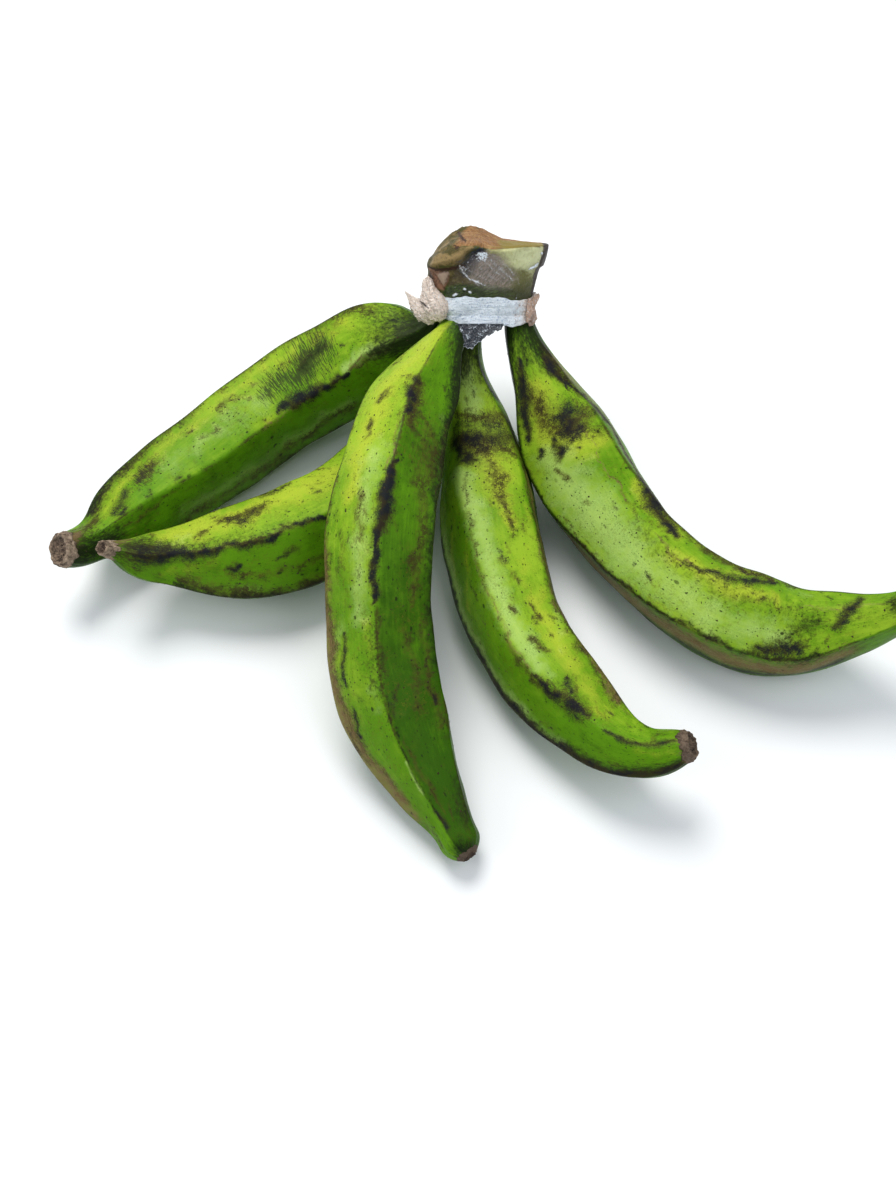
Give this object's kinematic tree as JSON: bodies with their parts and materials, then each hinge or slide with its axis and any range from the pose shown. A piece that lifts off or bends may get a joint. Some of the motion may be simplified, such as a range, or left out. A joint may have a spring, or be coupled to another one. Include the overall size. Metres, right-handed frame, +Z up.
{
  "type": "hand of plantains",
  "caption": "Hand of green plantains spreading from one cut crown, lying on their bellies, with a crumpled film wrap round the necks.",
  "frame": {"origin": "middle of the whole hand's box at the height of the surface it lies on", "axes": "+X along the spread of the fruits to the right, +Y towards the crown at the back, +Z up"},
  "size_m": [0.3598, 0.265, 0.0967],
  "materials": {
    "green_peel": "waxy satin green plantain peel with dark ridge streaks, bruises and brown specks",
    "crown_skin": "matt tan and olive cut crown tissue, brown and dry along its cut edges",
    "clear_film": "crumpled layers of clear food film, milky silver with bright creases"
  },
  "bodies": {
    "root": {"crown": "crown_skin", "film_wrap": "clear_film", "finger_left_back": "green_peel", "finger_left_front": "green_peel", "finger_middle": "green_peel", "finger_right_front": "green_peel", "finger_right": "green_peel"}
  },
  "joints": []
}
